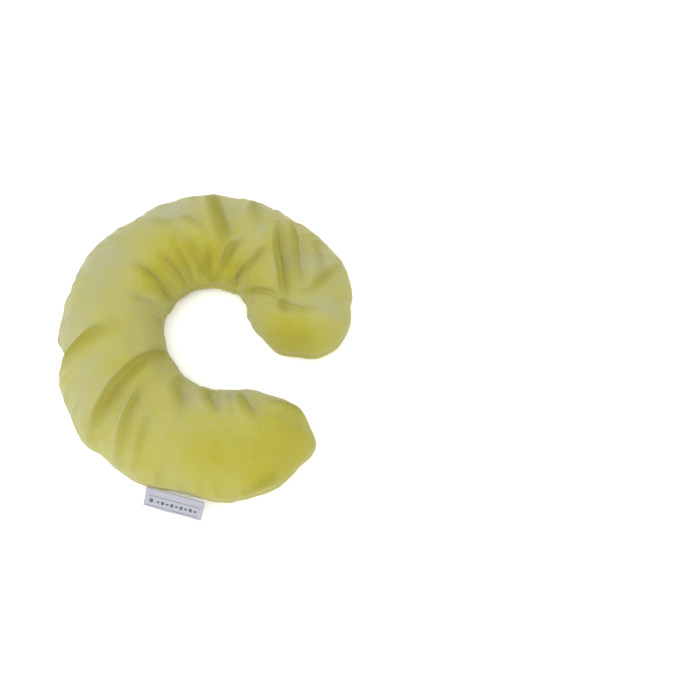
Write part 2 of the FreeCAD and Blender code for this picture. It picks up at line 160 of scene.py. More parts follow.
def curled(points, theta):
    """Lays the flat layout as the compress rests: each arm curls a little at its two seams."""
    laid = points[..., :2].copy()
    for side, (at_back, at_arm) in CURLS.items():
        beyond = np.asarray(theta, float) * side
        for seam, curl in ((ARM_SEAM, at_arm), (BACK_SEAM, at_back)):
            share = ease((beyond - seam + CURL_EASE) / (2.0 * CURL_EASE))
            laid = turned(laid, polar(side * seam, PIVOT), side * curl * share)
    return np.concatenate([laid, points[..., 2:]], -1)


def lumps(points, scale, seed):
    """Smooth noise about zero at points, with features about scale apart."""
    shift = Vector((seed * 17.3, seed * -9.1, seed * 4.7))
    return np.array([noise.noise(Vector(p) / scale + shift) for p in points])


def bulge(x, bulges):
    """The sum of smooth bulges at x: each has a place, a size and a spread."""
    return sum(size * np.exp(-(((x - at) / spread) ** 2)) for at, size, spread in bulges)


# --- folds ----------------------------------------------------------------------------------

# Each fold runs through (theta, r) points: (points, width, depth, lean).  Its higher ridge is
# on the left of its direction for a lean of +1, and on the right for -1.
TOP_FOLDS = [
    # the two long creases and the tuck where the left arm turns in
    ([(-92, 128), (-103, 106), (-120, 93), (-144, 88)], 4.2, 7.6, 1),
    ([(-95, 140), (-106, 124), (-119, 109), (-134, 103)], 4.6, 5.0, 1),
    ([(-104, 55), (-118, 64), (-130, 78), (-144, 91)], 3.4, 4.2, -1),
    ([(-138, 70), (-142, 88), (-145, 106), (-143, 120)], 4.2, 4.4, 1),
    ([(-141, 96), (-134, 116), (-125, 142), (-120, 156)], 6.0, 3.6, -1),
    ([(-107, 144), (-118, 134), (-128, 124)], 6.5, 2.6, 1),
    ([(-156, 80), (-157, 100), (-156, 122)], 9.0, 2.0, 1),
    # gathers over the left shoulder's inner side
    ([(-97, 100), (-99, 80), (-92, 66), (-74, 54)], 4.0, 5.0, 1),
    ([(-82, 104), (-77, 86), (-70, 68), (-60, 54)], 4.2, 4.4, -1),
    ([(-104, 82), (-98, 66), (-88, 54)], 4.2, 3.0, 1),
    ([(-56, 90), (-57, 72), (-57, 55)], 5.5, 4.4, 1),
    ([(-43, 92), (-49, 76), (-54, 58)], 6.0, 4.4, 1),
    ([(-59, 156), (-61, 130), (-67, 100), (-77, 70)], 8.0, 6.0, 1),
    ([(-76, 152), (-78, 132), (-84, 112)], 8.0, 2.6, -1),
    ([(-43, 124), (-49, 112), (-56, 98)], 6.5, 3.0, -1),
    ([(-30, 132), (-37, 116), (-43, 104)], 8.0, 2.0, 1),
    # the back's inner side
    ([(-34, 90), (-36, 72), (-38, 55)], 5.5, 3.4, -1),
    ([(-22, 86), (-25, 70), (-28, 55)], 5.0, 4.0, 1),
    ([(-8, 98), (-8, 78), (-9, 60)], 5.0, 4.4, 1),
    ([(2, 84), (-2, 68), (-6, 54)], 5.0, 3.4, -1),
    ([(14, 88), (10, 70), (6, 56)], 5.5, 2.2, 1),
    # the dent in the outer side of the back, and the long folds of the right shoulder
    ([(32, 98), (36, 116), (40, 134), (43, 154)], 7.5, 5.0, -1),
    ([(50, 48), (60, 76), (67, 108), (74, 150)], 6.8, 8.5, 1),
    ([(64, 60), (75, 94), (82, 120), (88, 154)], 5.6, 5.6, 1),
    ([(86, 98), (90, 122), (93, 150)], 5.0, 3.6, -1),
    ([(82, 56), (91, 74), (101, 96)], 5.5, 3.4, 1),
    # gathers on the inner side of the right arm
    ([(102, 54), (112, 68), (124, 90)], 5.5, 4.6, 1),
    ([(118, 54), (126, 70), (131, 92)], 5.0, 2.6, -1),
    ([(136, 58), (139, 76), (143, 98)], 5.5, 4.6, 1),
    ([(154, 80), (164, 92), (170, 104)], 5.5, 2.4, -1),
    # the right tip's outer corner
    ([(133, 152), (138, 147), (145, 146)], 4.6, 3.0, 1),
]
BOTTOM_FOLDS = [
    ([(-88, 54), (-84, 84), (-88, 120), (-84, 154)], 7.0, 2.2, 1),
    ([(-40, 54), (-34, 88), (-38, 126)], 6.0, 1.8, -1),
    ([(38, 56), (36, 90), (40, 130), (36, 155)], 6.0, 2.0, 1),
    ([(86, 54), (92, 90), (88, 132)], 7.0, 2.2, -1),
    ([(-118, 58), (-122, 92), (-116, 130)], 6.0, 1.6, 1),
    ([(120, 58), (116, 96), (122, 136)], 6.0, 1.6, 1),
]

# across a fold, in its widths: (place, height for each mm of depth, spread) of the valley,
# the higher ridge and the lower one
FOLD_PROFILE = [(0.0, -1.15, 1.0), (1.9, 0.60, 1.2), (-2.4, 0.20, 1.6)]

# how far crossing folds can add up, in mm
RIDGE_LIMIT = 3.6
DENT_LIMIT = 9.0

# The outline's departures from the plain horseshoe: (theta, millimetres outwards, spread)
OUTER_BULGES = [
    (-139, -4.0, 5),
    (-120, 5.0, 13),
    (-93, -5.0, 8),
    (-54, 6.5, 13),
    (-38, 2.5, 5),
    (-8, 4.5, 14),
    (10, -3.0, 8),
    (26, -2.0, 7),
    (39, -9.0, 6),
    (71, 4.0, 7),
    (79, -2.0, 4),
    (92, 1.5, 7),
    (110, -5.0, 11),
    (138, -3.0, 8),
]
INNER_BULGES = [
    (-130, 5.0, 9),
    (-99, -1.8, 8),
    (-65, -1.2, 14),
    (-25, -3.2, 45),
    (10, -2.5, 16),
    (62, 4.2, 19),
    (125, 3.4, 18),
]
# The same round each tip, by degrees from its outer side: (degrees, millimetres, spread)
TIP_BULGES = {
    -1: [(65, 1.0, 18), (105, -4.5, 20), (150, -4.5, 18)],
    1: [(75, 10.5, 17), (105, 5.5, 20), (150, -3.0, 15)],
}

# how much narrower the left arm gets, and over how many degrees past its seam
LEFT_NARROWING = 2.5
NARROWING_SPAN = 40.0

# smooth unevenness: of the outline (millimetres, spacing, seed), of the panels (millimetres,
# spacing)
EDGE_LUMPS = [(1.6, 30.0, 3), (0.5, 9.0 / 1.7, 5)]
PANEL_LUMPS = [(1.5, 46.0), (1.0, 17.0), (0.28, 6.5)]

# the gathers' outermost places, in degrees either way, and how far one slants
GATHER_END = 132.0
GATHER_SLANT = 5.0

# Painted sheen and shade on the plush: patches painted greyer as sheen (+) or deeper yellow as shade (-):
# (theta, r, reach, amount)
SHEEN_AND_SHADE_PATCHES = [
    (-40, 138, 34, 0.9),
    (-5, 140, 42, 1.0),
    (28, 140, 34, 0.8),
    (58, 132, 26, 0.7),
    (78, 128, 16, 0.5),
    (-72, 128, 20, 0.5),
    (-88, 112, 14, 0.8),
    (-118, 124, 20, 0.8),
    (-142, 124, 16, 0.8),
    (-143, 92, 9, 0.8),
    (102, 70, 12, 0.5),
    (128, 66, 14, 0.7),
    (158, 90, 8, 0.7),
    (112, 148, 12, 0.4),
    (-30, 78, 26, -1.0),
    (-8, 76, 18, -0.7),
    (-60, 74, 20, -1.0),
    (-84, 64, 12, -0.8),
    (-112, 70, 12, -0.8),
    (-126, 92, 10, -0.9),
    (-152, 84, 16, -0.9),
    (-164, 108, 24, -1.1),
    (38, 124, 14, -0.9),
    (63, 88, 15, -1.0),
    (70, 124, 14, -0.7),
    (84, 124, 12, -0.5),
    (118, 116, 26, -0.6),
    (142, 128, 30, -1.2),
    (158, 110, 24, -1.1),
]
SHEEN_AND_SHADE_RANGE = (-1.1, 0.85)


def gathers(seed, edge, count, reach, depth, width):
    """Short folds that start at a sewn edge and fade out across the panel.

    edge is the radius that they start from, reach the signed distances across."""
    draw = random.Random(seed)
    made = []
    for i in range(count):
        theta = -GATHER_END + 2.0 * GATHER_END * (i + draw.uniform(0.15, 0.85)) / count
        length = draw.uniform(*reach)
        slant = draw.uniform(-GATHER_SLANT, GATHER_SLANT)
        line = [(theta, edge), (theta + slant * 0.4, edge + length * 0.5), (theta + slant, edge + length)]
        made.append((line, draw.uniform(*width), draw.uniform(*depth), draw.choice((-1, 1))))
    return made


def fold_depth(points, folds):
    """How far each flat point sinks (negative) or rises under a list of folds."""
    total = np.zeros(len(points))
    for line, width, depth, lean in folds:
        knots = np.array([polar(theta, r) for theta, r in line])
        pieces = np.diff(knots, axis=0)
        lengths = np.hypot(*pieces.T)
        whole = lengths.sum()
        nearest = np.full(len(points), 1e9)
        across = np.zeros(len(points))
        along = np.zeros(len(points))
        passed = 0.0
        for start, piece, length in zip(knots[:-1], pieces, lengths):
            unit = piece / length
            off = points - start
            run = np.clip(off @ unit, 0.0, length)
            gap = off - run[:, None] * unit
            distance = np.hypot(*gap.T)
            side = np.sign(unit[0] * off[:, 1] - unit[1] * off[:, 0])
            closer = distance < nearest
            nearest[closer] = distance[closer]
            across[closer] = (side * distance)[closer]
            along[closer] = ((passed + run) / whole)[closer]
            passed += length
        s = across * lean / width
        taper = np.sin(np.pi * np.clip(along, 0.04, 0.96)) ** 0.8
        total += depth * taper * bulge(s, FOLD_PROFILE)
    ridges = RIDGE_LIMIT * np.tanh(total / RIDGE_LIMIT)
    dents = DENT_LIMIT * np.tanh(total / DENT_LIMIT)
    return np.where(total > 0.0, ridges, dents)


# --- the cover's two panels -----------------------------------------------------------------


def sheen_and_shade_at(points):
    """How much painted sheen, grey (above zero), or painted shade, deeper yellow (below it), the plush
    gets at each flat point.
    """
    total = np.zeros(len(points))
    for theta, r, reach, amount in SHEEN_AND_SHADE_PATCHES:
        away = np.linalg.norm(points - polar(theta, r), axis=1)
        total += amount * np.exp(-((away / reach) ** 2))
    return np.clip(total, *SHEEN_AND_SHADE_RANGE)


class Outline:
    """The sewn edge, column by column: outer arc, left cap, inner arc, right cap."""

    def __init__(self):
        arc = np.linspace(ARM_END, -ARM_END, ARC_STEPS + 1)
        turn = np.linspace(0.0, 180.0, CAP_STEPS + 1)[1:-1]
        self.theta = np.concatenate(
            [arc, np.full(len(turn), -ARM_END), arc[::-1], np.full(len(turn), ARM_END)]
        )
        facing = np.concatenate([np.zeros(len(arc)), -turn, np.full(len(arc), 180.0), 180.0 - turn])
        self.heading = self.theta + facing
        self.count = len(self.theta)
        self.centre = polar(self.theta, RING)
        self.out = polar(self.heading, 1.0)
        arc_of = np.concatenate([np.arange(ARC_STEPS + 1), np.full(len(turn), ARC_STEPS)])
        self.spine = np.concatenate([arc_of, np.arange(ARC_STEPS + 1)[::-1], np.zeros(len(turn), int)])
        self.half = HALF + self.swell(facing)

    def swell(self, facing):
        """How much wider than plain the half width is in each column."""
        outwards = (1.0 + np.cos(np.radians(facing))) / 2.0
        wide = outwards * bulge(self.theta, OUTER_BULGES)
        wide += (1.0 - outwards) * bulge(self.theta, INNER_BULGES)
        wide -= LEFT_NARROWING * ease((-self.theta - ARM_SEAM) / NARROWING_SPAN)
        turned_by = np.abs(facing)
        on_tip = turned_by % 180.0 > 0.0
        for side, bulges in TIP_BULGES.items():
            wide += np.where(on_tip & (self.theta * side > 0), bulge(turned_by, bulges), 0.0)
        flat = np.stack([self.centre[:, 0], self.centre[:, 1], facing * 0.4], -1)
        return wide + sum(size * lumps(flat, spacing, seed) for size, spacing, seed in EDGE_LUMPS)


def top_profile(share):
    """Across share (1 at the seam, 0 on the spine) and height of the crown, about evenly spaced."""
    across = np.sin(share * math.radians(TOP_LEAN)) / math.sin(math.radians(TOP_LEAN))
    height = SEAM_Z + (CROWN_Z - SEAM_Z) * (1.0 - across**TOP_FLATNESS) ** TOP_ROUNDNESS
    return across, height


def bottom_profile(share):
    """The same for the underside: flat where it rests, then rounded up to the seam."""
    out = HALF - BASE_HALF
    radius = (out**2 + SEAM_Z**2) / (2.0 * SEAM_Z)
    lean = math.atan2(out, radius - SEAM_Z)
    length = BASE_HALF + radius * lean
    at = share * length
    turn = np.clip((at - BASE_HALF) / radius, 0.0, None)
    across = (np.minimum(at, BASE_HALF) + radius * np.sin(turn)) / HALF
    return across, radius * (1.0 - np.cos(turn))


class Panel:
    """One sewn panel as a mesh of columns round the outline and rows in to the spine."""

    def __init__(self, outline, rows, profile, folds, seed):
        self.outline = outline
        share = 1.0 - np.arange(rows) / rows
        across, height = profile(share)
        flat = outline.centre[None] + outline.out[None] * (outline.half[None] * across[:, None])[..., None]
        z = np.repeat(height[:, None], outline.count, 1)
        body = np.concatenate([flat, z[..., None]], -1).reshape(-1, 3)
        spine_theta = np.linspace(ARM_END, -ARM_END, ARC_STEPS + 1)
        spine = np.concatenate(
            [polar(spine_theta, RING), np.full((ARC_STEPS + 1, 1), profile(np.zeros(1))[1][0])], 1
        )
        self.flat = np.concatenate([body, spine])
        self.row_height = height
        self.row_across = across
        self.theta = np.concatenate([np.tile(outline.theta, rows), spine_theta])
        self.edge = np.concatenate([np.repeat(share, outline.count), np.zeros(ARC_STEPS + 1)])
        self.faces = self.make_faces(rows)
        self.top = profile is top_profile
        self.sculpt(folds, seed)

    def make_faces(self, rows):
        count = self.outline.count
        column = np.arange(count)
        following = (column + 1) % count
        quads = []
        for row in range(rows):
            here = row * count
            inwards = here + count
            if row < rows - 1:
                near, far = inwards + column, inwards + following
            else:
                near, far = inwards + self.outline.spine, inwards + self.outline.spine[following]
            quads.append(np.stack([here + column, here + following, far, near], -1))
        return np.concatenate(quads)

    def normals(self, points):
        corners = points[self.faces]
        across = np.cross(corners[:, 2] - corners[:, 0], corners[:, 3] - corners[:, 1])
        total = np.zeros_like(points)
        for k in range(4):
            np.add.at(total, self.faces[:, k], across)
        length = np.linalg.norm(total, axis=1, keepdims=True)
        total /= np.maximum(length, 1e-12)
        return total

    def sculpt(self, folds, seed):
        """Moves the plain pillow along its normals: folds, gathers, lumps and the tucked seam."""
        normal = self.normals(self.flat)
        away = ease((1.0 - self.edge) * SEAM_STIFFNESS)
        sunk = fold_depth(self.flat[:, :2], folds) * away
        uneven = sum(
            size * lumps(self.flat, spacing, seed + k) for k, (size, spacing) in enumerate(PANEL_LUMPS)
        )
        self.fold = sunk
        shift = sunk + uneven * away
        if not self.top:
            shift *= ease(self.flat[:, 2] / UNDERSIDE_FADE) * UNDERSIDE_SHARE
        tuck = SEAM_TUCK * np.exp(-(((1.0 - self.edge) * PANEL_DEPTH / SEAM_TUCK_WIDTH) ** 2))
        inwards = np.zeros_like(self.flat)
        rows = len(self.flat) // self.outline.count
        inwards[: rows * self.outline.count, :2] = np.tile(-self.outline.out, (rows, 1))
        moved = self.flat + normal * shift[:, None] + inwards * tuck[:, None]
        moved[:, 2] = np.maximum(moved[:, 2], 0.0)
        if not self.top:
            moved = self.with_zip_window(moved)
        # painted sheen and shade for the plush colour, carried to the mesh as an attribute
        self.painted_sheen_shade = sheen_and_shade_at(self.flat[:, :2])
        self.rest = curled(moved, self.theta)
        self.shade = self.normals(self.rest)

    def with_zip_window(self, moved):
        """Fills the panel out round the zip and sets it back behind it, with a lip under it."""
        z = self.flat[:, 2]
        radius = np.hypot(moved[:, 0], moved[:, 1])
        low, high = ZIP_Z - ZIP_HALF_HEIGHT, ZIP_Z + ZIP_HALF_HEIGHT
        plain = RING + HALF * np.interp(z, self.row_height[::-1], self.row_across[::-1])
        outer = radius > RING + BASE_HALF / 2.0
        inside = ZIP_HALF_ARC - np.abs(self.theta)
        filled = ease((inside + SURROUND_REACH) / SURROUND_FADE) * outer
        filled *= ease((SEAM_Z - z) / SURROUND_SEAM_FADE)
        radius = radius + filled * np.maximum(plain + ZIP_SURROUND - radius, 0.0)
        lip = np.maximum(radius, plain + ZIP_LIP * ease(z / low))
        wanted = np.where(z < low, lip, np.where(z < high, ZIP_RECESS, radius))
        near = ease((inside + OPENING_REACH) / OPENING_REACH) * outer
        scale = (radius + near * (wanted - radius)) / np.hypot(moved[:, 0], moved[:, 1])
        made = moved.copy()
        made[:, :2] *= scale[:, None]
        return made

    def edge_line(self, z, step):
        """Points in metres along the outer side, in the row nearest a height, across the zip's arc."""
        columns = np.where(np.abs(self.outline.theta[: ARC_STEPS + 1]) < ZIP_HALF_ARC + 1.0)[0][::step]
        row = int(np.argmin(np.abs(self.row_height - z)))
        return self.rest[row * self.outline.count + columns] * MM

    def chunk(self, name, low, high, material):
        """The part of the panel between two angles, as an object."""
        middle = self.theta[self.faces].mean(1)
        faces = self.faces[(middle > low) & (middle < high)]
        used = np.unique(faces)
        renumber = np.full(len(self.rest), -1)
        renumber[used] = np.arange(len(used))
        faces = renumber[faces]
        mesh = bpy.data.meshes.new(name)
        # round a tip several columns meet on one spine point, so a face can name a corner twice
        clean = [list(dict.fromkeys(map(int, face))) for face in faces]
        mesh.from_pydata((self.rest[used] * MM).tolist(), [], [face for face in clean if len(face) > 2])
        mesh.polygons.foreach_set("use_smooth", np.ones(len(mesh.polygons), bool))
        for label, values in (("fold", self.fold), ("seam", self.edge), ("painted_sheen_shade", self.painted_sheen_shade)):
            attribute = mesh.attributes.new(label, "FLOAT", "POINT")
            attribute.data.foreach_set("value", values[used].astype(np.float32))
        place = mesh.attributes.new("layout", "FLOAT_VECTOR", "POINT")
        place.data.foreach_set("vector", (self.flat[used] * MM).astype(np.float32).ravel())
        mesh.update()
        mesh.normals_split_custom_set_from_vertices(self.shade[used].tolist())
        made = bpy.data.objects.new(name, mesh)
        bpy.context.scene.collection.objects.link(made)
        mesh.materials.append(material)
        return made


# --- materials ------------------------------------------------------------------------------


class Shader:
    """A short way to wire a node material."""

    def __init__(self, name):
        self.material = bpy.data.materials.new(name)
        self.material.use_nodes = True
        self.tree = self.material.node_tree
        self.bsdf = self.tree.nodes["Principled BSDF"]

    def node(self, kind, settings=None, **inputs):
        made = self.tree.nodes.new(kind)
        for key, value in (settings or {}).items():
            setattr(made, key, value)
        for key, value in inputs.items():
            self.feed(made.inputs[key], value)
        return made

    def feed(self, socket, value):
        if isinstance(value, bpy.types.NodeSocket):
            self.tree.links.new(value, socket)
        else:
            socket.default_value = value

    def attribute(self, name, output):
        return self.node("ShaderNodeAttribute", {"attribute_name": name}).outputs[output]

    def scaled(self, vector, scale):
        return self.node("ShaderNodeMapping", None, Vector=vector, Scale=scale).outputs[0]

    def noise(self, vector, scale, detail=2.0, roughness=0.5):
        made = self.node("ShaderNodeTexNoise", None, Vector=vector, Scale=scale, Detail=detail)
        made.inputs["Roughness"].default_value = roughness
        return made.outputs["Fac"]

    def ramp(self, value, stops):
        made = self.node("ShaderNodeValToRGB", None, Fac=value)
        ramp = made.color_ramp
        while len(ramp.elements) < len(stops):
            ramp.elements.new(0.5)
        for element, (at, colour) in zip(ramp.elements, stops):
            element.position = at
            element.color = (*colour, 1.0)
        return made.outputs[0]

    def mix(self, amount, first, second):
        made = self.node("ShaderNodeMix", {"data_type": "RGBA"})
        self.feed(made.inputs[0], amount)
        self.feed(made.inputs[6], first)
        self.feed(made.inputs[7], second)
        return made.outputs[2]

    def math(self, operation, first, second=0.0):
        made = self.node("ShaderNodeMath", {"operation": operation})
        self.feed(made.inputs[0], first)
        self.feed(made.inputs[1], second)
        return made.outputs[0]

    def ranged(self, value, from_low, from_high, to_low, to_high):
        made = self.node("ShaderNodeMapRange", None, Value=value)
        for k, limit in enumerate((from_low, from_high, to_low, to_high)):
            made.inputs[k + 1].default_value = limit
        return made.outputs[0]

    def bump(self, height, strength, distance, normal=None):
        made = self.node("ShaderNodeBump", None, Height=height, Strength=strength, Distance=distance)
        if normal is not None:
            self.feed(made.inputs["Normal"], normal)
        return made.outputs[0]


def plush_material():
    """Short-pile velour: painted sheen in grey and painted shade in deeper yellow in patches, painted
    shade deeper in the folds and along the seam, a soft sheen.
    """
    s = Shader("plush_velour")
    place = s.attribute("layout", "Vector")
    patches = s.noise(place, 24.0, 3.0, 0.55)
    strokes = s.noise(s.scaled(place, (1.0, 2.4, 1.0)), 85.0, 2.0, 0.6)
    fibre = s.noise(place, 1500.0, 2.0, 0.7)
    tuft = s.noise(place, 420.0, 2.0, 0.6)
    # painted sheen and shade: the patches, with random tone added, pick grey (painted sheen) or deep
    # yellow (painted shade) from the ramp
    sheen_shade_level = s.ranged(s.attribute("painted_sheen_shade", "Fac"), -1.0, 1.0, 0.02, 0.98)
    uneven = s.math("ADD", s.math("MULTIPLY", patches, 0.9), s.math("MULTIPLY", strokes, 0.35))
    painted_sheen_shade = s.ramp(
        s.math("ADD", sheen_shade_level, s.math("SUBTRACT", uneven, 0.625)),
        [
            (0.03, (0.294, 0.268, 0.013)),
            (0.35, (0.312, 0.294, 0.044)),
            (0.62, (0.314, 0.304, 0.086)),
            (0.97, (0.300, 0.302, 0.152)),
        ],
    )
    # painted shade in the folds: a darker yellow mixed in where the surface sinks
    sunk = s.ranged(s.attribute("fold", "Fac"), 0.4, -5.0, 0.0, 0.85)
    crease_shaded = s.mix(sunk, painted_sheen_shade, (0.215, 0.194, 0.018, 1.0))
    flecked = s.mix(s.math("MULTIPLY", fibre, 0.16), crease_shaded, (0.43, 0.41, 0.20, 1.0))
    # painted shade along the seam: a darker line where the panel's edge tucks in
    seam_shade = s.ranged(s.attribute("seam", "Fac"), 0.972, 0.995, 0.0, 0.22)
    s.feed(s.bsdf.inputs["Base Color"], s.mix(seam_shade, flecked, (0.16, 0.15, 0.04, 1.0)))
    s.bsdf.inputs["Roughness"].default_value = 0.95
    s.bsdf.inputs["Specular IOR Level"].default_value = 0.08
    s.feed(s.bsdf.inputs["Sheen Weight"], s.ranged(s.attribute("fold", "Fac"), -3.0, 1.0, 0.05, 0.34))
    s.bsdf.inputs["Sheen Roughness"].default_value = 0.55
    s.bsdf.inputs["Sheen Tint"].default_value = (0.86, 0.87, 0.84, 1.0)
    pile = s.bump(fibre, 0.35, 0.0004)
    lay = s.math("ADD", tuft, s.math("MULTIPLY", strokes, 0.3))
    s.feed(s.bsdf.inputs["Normal"], s.bump(lay, 0.2, 0.0006, pile))
    return s.material


def label_material():
    """Woven satin ribbon: fine ribs across its width."""
    s = Shader("label_satin")
    place = s.attribute("layout", "Vector")
    ribs = s.node("ShaderNodeTexWave", {"bands_direction": "X"}, Vector=place, Scale=420.0)
    ribs.inputs["Distortion"].default_value = 0.6
    threads = s.noise(s.scaled(place, (1.0, 14.0, 1.0)), 600.0, 2.0, 0.6)
    tone = s.ramp(threads, [(0.3, (0.26, 0.265, 0.31)), (0.7, (0.35, 0.355, 0.40))])
    s.feed(s.bsdf.inputs["Base Color"], tone)
    s.bsdf.inputs["Roughness"].default_value = 0.45
    s.bsdf.inputs["Sheen Weight"].default_value = 0.25
    s.feed(s.bsdf.inputs["Normal"], s.bump(ribs.outputs["Fac"], 0.35, 0.00012))
    return s.material


def thread_material():
    s = Shader("label_thread")
    place = s.attribute("layout", "Vector")
    tone = s.ramp(s.noise(place, 900.0), [(0.3, (0.035, 0.06, 0.05)), (0.7, (0.07, 0.11, 0.085))])
    s.feed(s.bsdf.inputs["Base Color"], tone)
    s.bsdf.inputs["Roughness"].default_value = 0.55
    return s.material


def tape_material():
    """Zip tape: a fine herringbone twill."""
    s = Shader("zip_tape")
    place = s.node("ShaderNodeTexCoord").outputs["Object"]
    twill = s.node("ShaderNodeTexWave", {"bands_direction": "DIAGONAL"}, Vector=place, Scale=340.0)
    tone = s.mix(s.noise(place, 300.0), (0.33, 0.30, 0.07, 1.0), (0.42, 0.39, 0.13, 1.0))
    s.feed(s.bsdf.inputs["Base Color"], tone)
    s.bsdf.inputs["Roughness"].default_value = 0.8
    s.feed(s.bsdf.inputs["Normal"], s.bump(twill.outputs["Fac"], 0.5, 0.00015))
    return s.material


def nylon_material():
    s = Shader("zip_nylon")
    place = s.node("ShaderNodeTexCoord").outputs["Object"]
    tone = s.mix(s.noise(place, 240.0), (0.55, 0.52, 0.24, 1.0), (0.66, 0.63, 0.34, 1.0))
    s.feed(s.bsdf.inputs["Base Color"], tone)
    s.bsdf.inputs["Roughness"].default_value = 0.38
    return s.material


def enamel_material():
    """Zip slider and pull: yellow enamel that is rubbed dull in scattered patches."""
    s = Shader("zip_enamel")
    place = s.node("ShaderNodeTexCoord").outputs["Object"]
    worn = s.ramp(s.noise(place, 520.0, 4.0, 0.7), [(0.55, (0.0, 0.0, 0.0)), (0.75, (1.0, 1.0, 1.0))])
    tone = s.mix(worn, (0.46, 0.41, 0.08, 1.0), (0.55, 0.52, 0.25, 1.0))
    s.feed(s.bsdf.inputs["Base Color"], tone)
    s.feed(s.bsdf.inputs["Roughness"], s.math("ADD", s.math("MULTIPLY", worn, 0.25), 0.28))
    s.feed(s.bsdf.inputs["Normal"], s.bump(s.noise(place, 900.0), 0.15, 0.0001))
    return s.material


# --- build the cover ------------------------------------------------------------------------

PLUSH = plush_material()
OUTLINE = Outline()
INNER_EDGE = RING - HALF
OUTER_EDGE = RING + HALF
TOP_GATHERS = (
    gathers(11, INNER_EDGE, 26, (12.0, 30.0), (0.5, 1.7), (3.2, 5.4))
    + gathers(12, OUTER_EDGE, 44, (-22.0, -8.0), (0.3, 1.1), (2.4, 4.6))
)
BOTTOM_GATHERS = (
    gathers(13, INNER_EDGE, 24, (10.0, 24.0), (0.2, 0.7), (3.0, 5.0))
    + gathers(14, OUTER_EDGE, 46, (-20.0, -8.0), (0.3, 1.0), (2.4, 4.4))
)

# chamber spans between the cuts, and the two bodies on either side of each span's seam
MIDDLE = (BACK_SEAM + ARM_SEAM) / 2.0
SPANS = {
    "back_left": (-MIDDLE, 0.0, "back", "left_shoulder", -BACK_SEAM, (18.0, 18.0)),
    "arm_left": (-180.0, -MIDDLE, "left_shoulder", "left_tip", -ARM_SEAM, (20.0, 30.0)),
    "back_right": (0.0, MIDDLE, "back", "right_shoulder", BACK_SEAM, (18.0, 18.0)),
    "arm_right": (MIDDLE, 180.0, "right_shoulder", "right_tip", ARM_SEAM, (20.0, 30.0)),
}
# the chambers whose CAD nodes a span's pieces replace, each chamber listed under one span
NEW_IN_SPAN = {
    "back_left": ("back",),
    "back_right": ("right_shoulder",),
    "arm_left": ("left_shoulder", "left_tip"),
    "arm_right": ("right_tip",),
}


def bend_line(seam, before, after):
    """Start and end points of the bend across a seam, in the row frame in metres."""
    side = math.copysign(1.0, seam)
    ends = []
    for ahead in (-before, after):
        along = polar(seam, RING) + ahead * polar(seam + side * 90.0, 1.0)
        point = curled(np.array([[*along, 0.0]]), np.array([seam]))[0]
        ends.append(tuple(point * MM))
    return ends


def make_cover():
    panels = {
        "top": Panel(OUTLINE, TOP_ROWS, top_profile, TOP_FOLDS + TOP_GATHERS, 21),
        "bottom": Panel(OUTLINE, BOTTOM_ROWS, bottom_profile, BOTTOM_FOLDS + BOTTOM_GATHERS, 31),
    }
    for layer, panel in panels.items():
        for span, (low, high, first, second, seam, reach) in SPANS.items():
            piece = panel.chunk(f"cover_{layer}_{span}", low, high, PLUSH)
            start, end = bend_line(seam, *reach)
            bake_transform(piece)
            for chamber in NEW_IN_SPAN[span]:
                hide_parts(f"cover_{layer}_{chamber}")
                if layer == "top":
                    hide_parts(f"inner_bag_{chamber}", f"herb_filling_{chamber}")
    return panels


PANELS = make_cover()


# --- side label -----------------------------------------------------------------------------

LABEL_LENGTH = 55.0
LABEL_DROP = 13.0
LABEL_TUCK = 4.0
LABEL_PLY = 0.35
LABEL_GAP = 0.5
LABEL_DROOP = 40.0


def label_frame():
    """The label's axes from its joint: along the seam, down its face, and off its face."""
    joint = JOINTS["label_flip"]
    along = Vector(joint["axis"]).normalized()
    outward = Vector((0.0, 0.0, 1.0)).cross(along)
    droop = math.radians(LABEL_DROOP)
    down = outward * math.cos(droop) - Vector((0.0, 0.0, 1.0)) * math.sin(droop)
    return Vector(joint["pos_m"]), along, down, along.cross(down)


def on_label(x, y, lift):
    """A point on the label, in metres: x along it, y down it, lift off its middle, in mm."""
    origin, along, down, off = label_frame()
    wave = 0.35 * math.sin(x * 0.16 + 0.6) * max(y, 0.0) / LABEL_DROP
    curl = 0.012 * max(y, 0.0) ** 2
    return origin + (along * x + down * y + off * (lift + wave + curl)) * MM


def mesh_object(name, points, faces, material):
    mesh = bpy.data.meshes.new(name)
    mesh.from_pydata([tuple(p) for p in points], [], faces)
    mesh.polygons.foreach_set("use_smooth", np.ones(len(mesh.polygons), bool))
    mesh.materials.append(material)
    mesh.update()
    made = bpy.data.objects.new(name, mesh)
    bpy.context.scene.collection.objects.link(made)
    return made


def store_layout(piece, places):
    attribute = piece.data.attributes.new("layout", "FLOAT_VECTOR", "POINT")
    attribute.data.foreach_set("vector", (np.array(places, np.float32) * MM).ravel())


